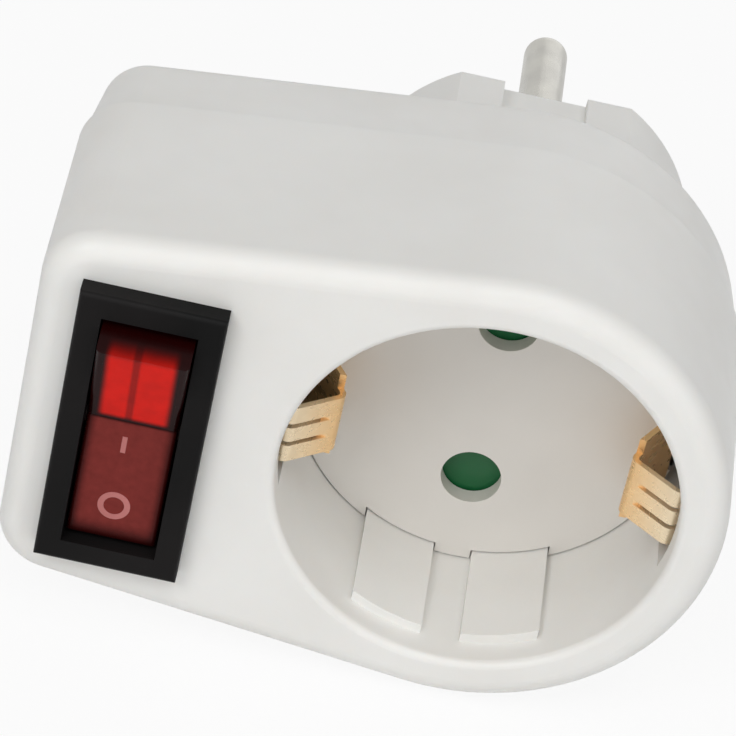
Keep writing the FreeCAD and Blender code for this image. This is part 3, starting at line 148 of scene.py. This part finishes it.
class Finish:
    """A node material for one finish, with the small helpers that they all use."""

    def __init__(self, name, colour, roughness, metallic=0.0):
        self.material = bpy.data.materials.new(name)
        self.material.use_nodes = True
        self.nodes = self.material.node_tree.nodes
        self.links = self.material.node_tree.links
        self.shader = self.nodes["Principled BSDF"]
        self.shader.inputs["Base Color"].default_value = (*colour, 1.0)
        self.shader.inputs["Roughness"].default_value = roughness
        self.shader.inputs["Metallic"].default_value = metallic
        self.place = self.nodes.new("ShaderNodeTexCoord").outputs["Object"]

    def noise(self, scale, detail=4.0, stretch=(1.0, 1.0, 1.0)):
        """Noise at a scale per metre, drawn out along an axis where its stretch is small."""
        mapping = self.nodes.new("ShaderNodeMapping")
        mapping.inputs["Scale"].default_value = stretch
        self.links.new(self.place, mapping.inputs["Vector"])
        texture = self.nodes.new("ShaderNodeTexNoise")
        texture.inputs["Scale"].default_value = scale
        texture.inputs["Detail"].default_value = detail
        self.links.new(mapping.outputs["Vector"], texture.inputs["Vector"])
        return texture.outputs["Fac"]

    def tint(self, factor, low, high):
        """The base colour goes from low to high with the factor."""
        ramp = self.nodes.new("ShaderNodeValToRGB")
        ramp.color_ramp.elements[0].position = 0.35
        ramp.color_ramp.elements[0].color = (*low, 1.0)
        ramp.color_ramp.elements[1].position = 0.65
        ramp.color_ramp.elements[1].color = (*high, 1.0)
        self.links.new(factor, ramp.inputs["Fac"])
        self.links.new(ramp.outputs["Color"], self.shader.inputs["Base Color"])
        return ramp.outputs["Color"]

    def vary_roughness(self, factor, low, high):
        """The roughness goes from low to high with the factor."""
        remap = self.nodes.new("ShaderNodeMapRange")
        remap.inputs["From Min"].default_value = 0.3
        remap.inputs["From Max"].default_value = 0.7
        remap.inputs["To Min"].default_value = low
        remap.inputs["To Max"].default_value = high
        self.links.new(factor, remap.inputs["Value"])
        self.links.new(remap.outputs["Result"], self.shader.inputs["Roughness"])

    def calculate(self, operation, first, second):
        """One sum on two values, each a socket or a number."""
        node = self.nodes.new("ShaderNodeMath")
        node.operation = operation
        for socket, value in zip(node.inputs, (first, second)):
            if isinstance(value, float):
                socket.default_value = value
            else:
                self.links.new(value, socket)
        return node.outputs["Value"]

    def distance_from(self, value, middle):
        """How far a value lies from the middle, on either side."""
        offset = self.calculate("SUBTRACT", value, middle)
        return self.calculate("ABSOLUTE", offset, 0.0)

    def product(self, *factors):
        """All the factors multiplied."""
        result = factors[0]
        for factor in factors[1:]:
            result = self.calculate("MULTIPLY", result, factor)
        return result

    def step(self, value, start, end, low=0.0, high=1.0):
        """A smooth step from low at start to high at end."""
        remap = self.nodes.new("ShaderNodeMapRange")
        remap.interpolation_type = "SMOOTHSTEP"
        remap.inputs["From Min"].default_value = min(start, end)
        remap.inputs["From Max"].default_value = max(start, end)
        remap.inputs["To Min"].default_value = low if start < end else high
        remap.inputs["To Max"].default_value = high if start < end else low
        self.links.new(value, remap.inputs["Value"])
        return remap.outputs["Result"]

    def mix(self, factor, low, high, kind="MIX"):
        """A colour between low and high, each a socket or a fixed colour."""
        node = self.nodes.new("ShaderNodeMix")
        node.data_type = "RGBA"
        node.blend_type = kind
        if isinstance(factor, float):
            node.inputs["Factor"].default_value = factor
        else:
            self.links.new(factor, node.inputs["Factor"])
        for name, value in (("A", low), ("B", high)):
            socket = [s for s in node.inputs if s.name == name and s.type == "RGBA"][0]
            if isinstance(value, tuple):
                socket.default_value = (*value, 1.0)
            else:
                self.links.new(value, socket)
        return [s for s in node.outputs if s.type == "RGBA"][0]

    def bump(self, height, distance, strength=1.0):
        """A bump of this depth in metres."""
        bump = self.nodes.new("ShaderNodeBump")
        bump.inputs["Distance"].default_value = distance
        bump.inputs["Strength"].default_value = strength
        self.links.new(height, bump.inputs["Height"])
        self.links.new(bump.outputs["Normal"], self.shader.inputs["Normal"])


def moulded_plastic(name, low, high, roughness, grain=0.012 * MM, glow=0.0, shine=0.5):
    """Moulded plastic: a faint cloudiness in its colour and a fine satin grain."""
    finish = Finish(name, high, roughness)
    finish.shader.inputs["Specular IOR Level"].default_value = shine
    finish.tint(finish.noise(CLOUD_SCALE, 3.0), low, high)
    finish.vary_roughness(finish.noise(SATIN_SCALE, 5.0), roughness - 0.06, roughness + 0.08)
    finish.bump(finish.noise(GRAIN_SCALE, 3.0), grain, 0.6)
    finish.shader.inputs["IOR"].default_value = PLASTIC_IOR
    if glow:
        finish.shader.inputs["Subsurface Weight"].default_value = glow
        finish.shader.inputs["Subsurface Radius"].default_value = (1.2 * MM, 0.9 * MM, 0.7 * MM)
        finish.shader.inputs["Subsurface Scale"].default_value = 1.0
    return finish.material


def rolled_metal(name, low, high, roughness, along=(1.0, 1.0, 1.0)):
    """Rolled or drawn metal: fine streaks along the piece and a slight tarnish."""
    finish = Finish(name, high, roughness, 1.0)
    finish.tint(finish.noise(260.0, 6.0), low, high)
    finish.vary_roughness(finish.noise(900.0, 4.0, along), roughness - 0.07, roughness + 0.1)
    finish.bump(finish.noise(3500.0, 2.0, along), 0.006 * MM, 0.5)
    return finish.material


def earth_bronze(front_y):
    """Sprung bronze, with a painted pale reflection of the light near the mouth and a warmer gold in the
    depth.
    """
    finish = Finish("earth_clip_bronze", (0.80, 0.52, 0.24), 0.28, 0.55)
    split = finish.nodes.new("ShaderNodeSeparateXYZ")
    finish.links.new(finish.place, split.inputs["Vector"])
    # Painted reflection: the colour is pale near the mouth and turns to the warmer gold deeper in
    deep = finish.step(split.outputs["Y"], front_y + PALE_SHEEN_START, front_y + PALE_SHEEN_END)
    tone = finish.mix(deep, (0.90, 0.78, 0.57), (0.95, 0.62, 0.29))
    stain = finish.mix(finish.noise(600.0, 5.0), (0.86, 0.82, 0.78), (1.0, 1.0, 1.0))
    colour = finish.mix(1.0, tone, stain, "MULTIPLY")
    finish.links.new(colour, finish.shader.inputs["Base Color"])
    finish.vary_roughness(finish.noise(900.0, 4.0, (1.0, 0.15, 1.0)), 0.22, 0.36)
    finish.bump(finish.noise(1500.0, 2.0, (1.0, 0.15, 1.0)), 0.0015 * MM, 0.3)
    return finish.material


def clear_red(middle_x, fold_z):
    """Clear red plastic with a painted glow, emission and a brighter red, where the hollow of the upper
    half gathers the light.

    The painted glow is a soft-edged window in X and Z above the fold, fading into painted shade at the
    top end, with the painted shade of an inner rib down its middle.
    Outside it the plastic looks dull: painted light on the middle of the lower half, and painted shade,
    near black, towards the ends and sides of the case and on the upper half around the window.
    """
    finish = Finish("clear_red_plastic", (0.2, 0.02, 0.02), 0.24)
    finish.shader.inputs["IOR"].default_value = PLASTIC_IOR
    finish.shader.inputs["Specular IOR Level"].default_value = 0.07
    split = finish.nodes.new("ShaderNodeSeparateXYZ")
    finish.links.new(finish.place, split.inputs["Vector"])
    across = finish.distance_from(split.outputs["X"], middle_x)
    # Painted glow: the window where the upper half is given emission and a brighter red
    window = finish.product(
        finish.step(across, GLOW_HALF_WIDTH, GLOW_HALF_WIDTH - GLOW_EDGE),
        finish.step(split.outputs["Z"], fold_z, fold_z + GLOW_RISE),
        finish.step(split.outputs["Z"], GLOW_TOP, GLOW_TOP - GLOW_FADE),
    )
    # Painted shade of an inner rib, a darker line down the middle of the painted glow
    rib = finish.distance_from(split.outputs["X"], middle_x + RIB_SHIFT)
    rib_painted_shade = finish.step(rib, RIB_HALF_WIDTH / 3, RIB_HALF_WIDTH, RIB_PAINTED_SHADE, 1.0)
    cloud = finish.step(finish.noise(340.0, 3.0), 0.3, 0.7, 0.8, 1.0)
    glow = finish.product(window, rib_painted_shade, cloud)
    # Painted light on the middle of the lower half; towards its ends and sides, and around the window on
    # the upper half, the colour goes to painted shade, near black
    below = finish.step(split.outputs["Z"], fold_z, fold_z - DULL_RISE)
    lower_painted_light = finish.product(
        below,
        finish.step(across, DULL_HALF_WIDTH, DULL_HALF_WIDTH - DULL_EDGE),
        finish.step(split.outputs["Z"], DULL_Z[0], DULL_Z[1]),
    )
    body = finish.mix(lower_painted_light, (0.016, 0.001, 0.001), (0.230, 0.034, 0.029))
    haze = finish.mix(finish.noise(1300.0, 5.0), (0.62, 0.62, 0.62), (1.0, 1.0, 1.0))
    dull = finish.mix(1.0, body, haze, "MULTIPLY")
    colour = finish.mix(glow, dull, (0.42, 0.004, 0.001))
    finish.links.new(colour, finish.shader.inputs["Base Color"])
    # The painted glow's emission
    finish.shader.inputs["Emission Color"].default_value = (0.95, 0.012, 0.003, 1.0)
    strength = finish.step(glow, 0.0, 1.0, 0.0, GLOW_STRENGTH)
    finish.links.new(strength, finish.shader.inputs["Emission Strength"])
    finish.bump(finish.noise(700.0, 2.0), 0.01 * MM, 0.4)
    return finish.material


def make_finishes(rocker_x, fold_z):
    """All the finishes, by the name of the record's material slot."""
    return {
        "white_plastic": moulded_plastic(
            "white_moulding", (0.795, 0.785, 0.755), (0.835, 0.830, 0.805), 0.42, glow=0.15
        ),
        "floor_plastic": moulded_plastic(
            "floor_moulding", (0.710, 0.685, 0.645), (0.760, 0.735, 0.695), 0.45
        ),
        "green_plastic": moulded_plastic(
            "shutter_green", (0.004, 0.105, 0.030), (0.008, 0.150, 0.045), 0.38
        ),
        "insulator_plastic": moulded_plastic(
            "insulator_moulding", (0.56, 0.52, 0.42), (0.64, 0.60, 0.50), 0.5
        ),
        "black_plastic": moulded_plastic(
            "switch_black", (0.005, 0.005, 0.005), (0.010, 0.009, 0.009), 0.42, shine=0.08
        ),
        "pin_nickel": rolled_metal(
            "nickel_plate", (0.43, 0.42, 0.39), (0.50, 0.49, 0.45), 0.3, (1.0, 0.2, 1.0)
        ),
        "contact_brass": rolled_metal(
            "contact_brass_strip", (0.52, 0.34, 0.12), (0.72, 0.52, 0.22), 0.3, (1.0, 0.1, 1.0)
        ),
        "earth_brass": earth_bronze(CAD_BOX[0][1]),
        "spring_steel": rolled_metal("spring_wire", (0.34, 0.34, 0.34), (0.50, 0.50, 0.49), 0.3),
        "screw_steel": rolled_metal("zinc_plate", (0.40, 0.41, 0.41), (0.56, 0.57, 0.56), 0.32),
        "red_rocker": clear_red(rocker_x, fold_z),
        "lamp_glass": moulded_plastic("lamp_glass", (0.6, 0.2, 0.08), (0.7, 0.26, 0.1), 0.12),
        "resistor_body": moulded_plastic(
            "resistor_lacquer", (0.36, 0.22, 0.10), (0.45, 0.30, 0.16), 0.4
        ),
        "brown_lead": moulded_plastic("brown_insulation", (0.05, 0.018, 0.008), (0.08, 0.03, 0.014), 0.4),
        "blue_lead": moulded_plastic("blue_insulation", (0.008, 0.035, 0.17), (0.014, 0.06, 0.26), 0.4),
    }


def dress_frame(finishes):
    """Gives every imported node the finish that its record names."""
    for subpart in frame["record"]["subparts"]:
        node = frame["nodes"][subpart["node"]]
        finish_with(node, finishes[subpart["material_slot"]])


def pressed_face(node):
    """The Y of the node's face that looks straight along -Y, and the Z of that face's top."""
    mesh = frame["nodes"][node].data
    flat = [face for face in mesh.polygons if face.normal.y < -0.999 and face.center.z < 0]
    front = min(face.center.y for face in flat)
    corners = [
        mesh.vertices[index].co.z
        for face in flat
        if face.center.y < front + MARK_THICKNESS
        for index in face.vertices
    ]
    return front, max(corners)


def make_ring_mark(y, x, material):
    """The ring on the pressed half of the rocker."""
    deselect_all()
    bpy.ops.mesh.primitive_circle_add(
        vertices=64, radius=RING_R, location=(x, y, RING_Z), rotation=(math.pi / 2, 0, 0)
    )
    ring = bpy.context.active_object
    bpy.ops.object.mode_set(mode="EDIT")
    inner = (RING_R - RING_LINE) / RING_R
    bpy.ops.mesh.extrude_edges_move()
    bpy.ops.transform.resize(value=(inner, inner, inner))
    bpy.ops.mesh.select_all(action="SELECT")
    bpy.ops.mesh.extrude_region_move(TRANSFORM_OT_translate={"value": (0, -MARK_THICKNESS, 0)})
    bpy.ops.mesh.select_all(action="SELECT")
    bpy.ops.mesh.normals_make_consistent(inside=False)
    bpy.ops.object.mode_set(mode="OBJECT")
    finish_with(ring, material)
    return settle(ring, "rocker_ring_mark", "rocker")


def make_bar_mark(y, x, material):
    """The bar below the rocker's fold."""
    deselect_all()
    middle = (BAR_Z[0] + BAR_Z[1]) / 2
    bpy.ops.mesh.primitive_cube_add(size=1.0, location=(x, y - MARK_THICKNESS / 2, middle))
    bar = bpy.context.active_object
    bar.scale = (BAR_WIDTH, MARK_THICKNESS, BAR_Z[1] - BAR_Z[0])
    finish_with(bar, material)
    return settle(bar, "rocker_bar_mark", "rocker")


def make_stage():
    """A plain pale floor that is white to the camera and keeps the object's soft shadow."""
    deselect_all()
    bpy.ops.mesh.primitive_plane_add(size=FLOOR_SIZE, location=(0, 0, CAD_BOX[0][2]))
    floor = bpy.context.active_object
    floor.name = "studio_floor"
    material = bpy.data.materials.new("studio_floor")
    material.use_nodes = True
    nodes = material.node_tree.nodes
    links = material.node_tree.links
    nodes.clear()
    output = nodes.new("ShaderNodeOutputMaterial")
    paper = nodes.new("ShaderNodeBsdfDiffuse")
    paper.inputs["Color"].default_value = (PAPER_TONE, PAPER_TONE, PAPER_TONE, 1.0)
    white = nodes.new("ShaderNodeEmission")
    white.inputs["Strength"].default_value = BACKDROP_WHITE
    seen = nodes.new("ShaderNodeMixShader")
    seen.inputs["Fac"].default_value = FLOOR_WHITE
    links.new(paper.outputs["BSDF"], seen.inputs[1])
    links.new(white.outputs["Emission"], seen.inputs[2])
    mix = nodes.new("ShaderNodeMixShader")
    links.new(white_ray(nodes, links), mix.inputs["Fac"])
    links.new(paper.outputs["BSDF"], mix.inputs[1])
    links.new(seen.outputs["Shader"], mix.inputs[2])
    links.new(mix.outputs["Shader"], output.inputs["Surface"])
    finish_with(floor, material)
    deselect_all()


def white_ray(nodes, links):
    """1 on the rays that should see a white studio: straight, mirrored or through clear plastic."""
    path = nodes.new("ShaderNodeLightPath")
    first = nodes.new("ShaderNodeMath")
    first.operation = "MAXIMUM"
    links.new(path.outputs["Is Camera Ray"], first.inputs[0])
    links.new(path.outputs["Is Glossy Ray"], first.inputs[1])
    second = nodes.new("ShaderNodeMath")
    second.operation = "MAXIMUM"
    links.new(first.outputs["Value"], second.inputs[0])
    links.new(path.outputs["Is Transmission Ray"], second.inputs[1])
    return second.outputs["Value"]


def make_world():
    """Even studio light from all round, white to the camera."""
    world = bpy.data.worlds.new("studio")
    bpy.context.scene.world = world
    world.use_nodes = True
    nodes = world.node_tree.nodes
    links = world.node_tree.links
    background = nodes["Background"]
    background.inputs["Color"].default_value = (1.0, 1.0, 1.0, 1.0)
    strength = nodes.new("ShaderNodeMapRange")
    strength.inputs["To Min"].default_value = AMBIENT
    strength.inputs["To Max"].default_value = BACKDROP_WHITE
    links.new(white_ray(nodes, links), strength.inputs["Value"])
    links.new(strength.outputs["Result"], background.inputs["Strength"])


def soft_light(name, place, size, power):
    """A large square lamp that looks at the object."""
    lamp = bpy.data.lights.new(name, "AREA")
    lamp.shape = "SQUARE"
    lamp.size = size
    lamp.energy = power
    holder = bpy.data.objects.new(name, lamp)
    bpy.context.scene.collection.objects.link(holder)
    holder.location = place
    holder.rotation_euler = (LAMP_AIM - Vector(place)).to_track_quat("-Z", "Y").to_euler()


def make_camera():
    """The camera at the photograph's viewing angle."""
    data = bpy.data.cameras.new("camera")
    data.sensor_width = SENSOR
    data.lens = CAMERA_LENS
    data.clip_start = 0.01
    camera = bpy.data.objects.new("camera", data)
    bpy.context.scene.collection.objects.link(camera)
    turn = Matrix((CAMERA_RIGHT, CAMERA_UP, CAMERA_BACK)).transposed()
    camera.matrix_world = Matrix.Translation(CAMERA_PLACE) @ turn.to_4x4()
    bpy.context.scene.camera = camera


deselect_all()
rocker_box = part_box("rocker")
rocker_x = (rocker_box[0].x + rocker_box[1].x) / 2
lower_face, fold_z = pressed_face("rocker")
finishes = make_finishes(rocker_x, fold_z)
dress_frame(finishes)

mark_print = moulded_plastic("mark_print", (0.42, 0.13, 0.12), (0.52, 0.18, 0.17), 0.5)
make_ring_mark(lower_face, rocker_x + RING_SHIFT, mark_print)
make_bar_mark(lower_face, rocker_x + BAR_SHIFT, mark_print)

make_stage()
make_world()
for lamp_name, lamp_place, lamp_size, lamp_power in LAMPS:
    soft_light(lamp_name, lamp_place, lamp_size, lamp_power)
make_camera()

bpy.context.scene.view_settings.view_transform = "Standard"
